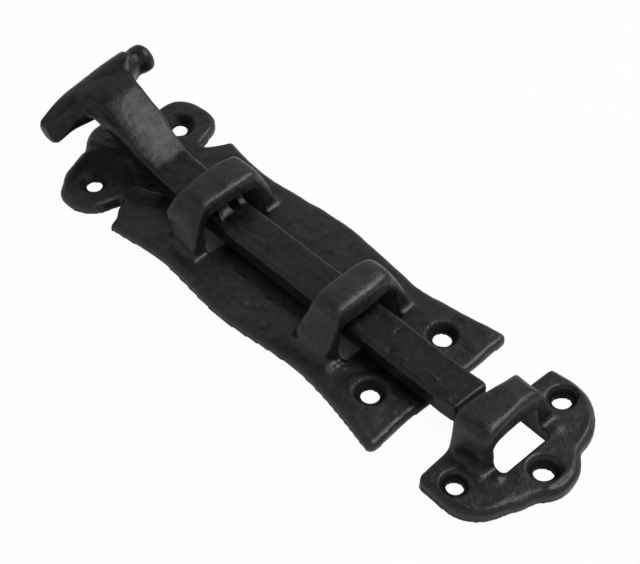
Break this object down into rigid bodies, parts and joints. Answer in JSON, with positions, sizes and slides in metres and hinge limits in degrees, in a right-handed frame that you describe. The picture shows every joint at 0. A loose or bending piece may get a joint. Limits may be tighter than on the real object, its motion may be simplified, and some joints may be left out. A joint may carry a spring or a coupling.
{
  "type": "door bolt",
  "caption": "Black cast-iron slide bolt for a door: wavy back plate with cast loops, flat bar with a rising cross grip, and a separate arched keep.",
  "frame": {"origin": "on the back face of the plate, midway between the two front screw holes", "axes": "+X along the bolt towards its tip, +Y across it, +Z away from the door"},
  "size_m": [0.2016, 0.057, 0.0253],
  "materials": {
    "black_iron": "satin black paint on an uneven casting"
  },
  "bodies": {
    "fixed": {"backplate": "black_iron", "keep": "black_iron"},
    "bolt": {"sliding_bolt": "black_iron"}
  },
  "joints": [
    {"name": "bolt_slide", "type": "slide", "parent": "fixed", "child": "bolt", "axis": [1, 0, 0], "range_m": [0, 0.017]}
  ]
}
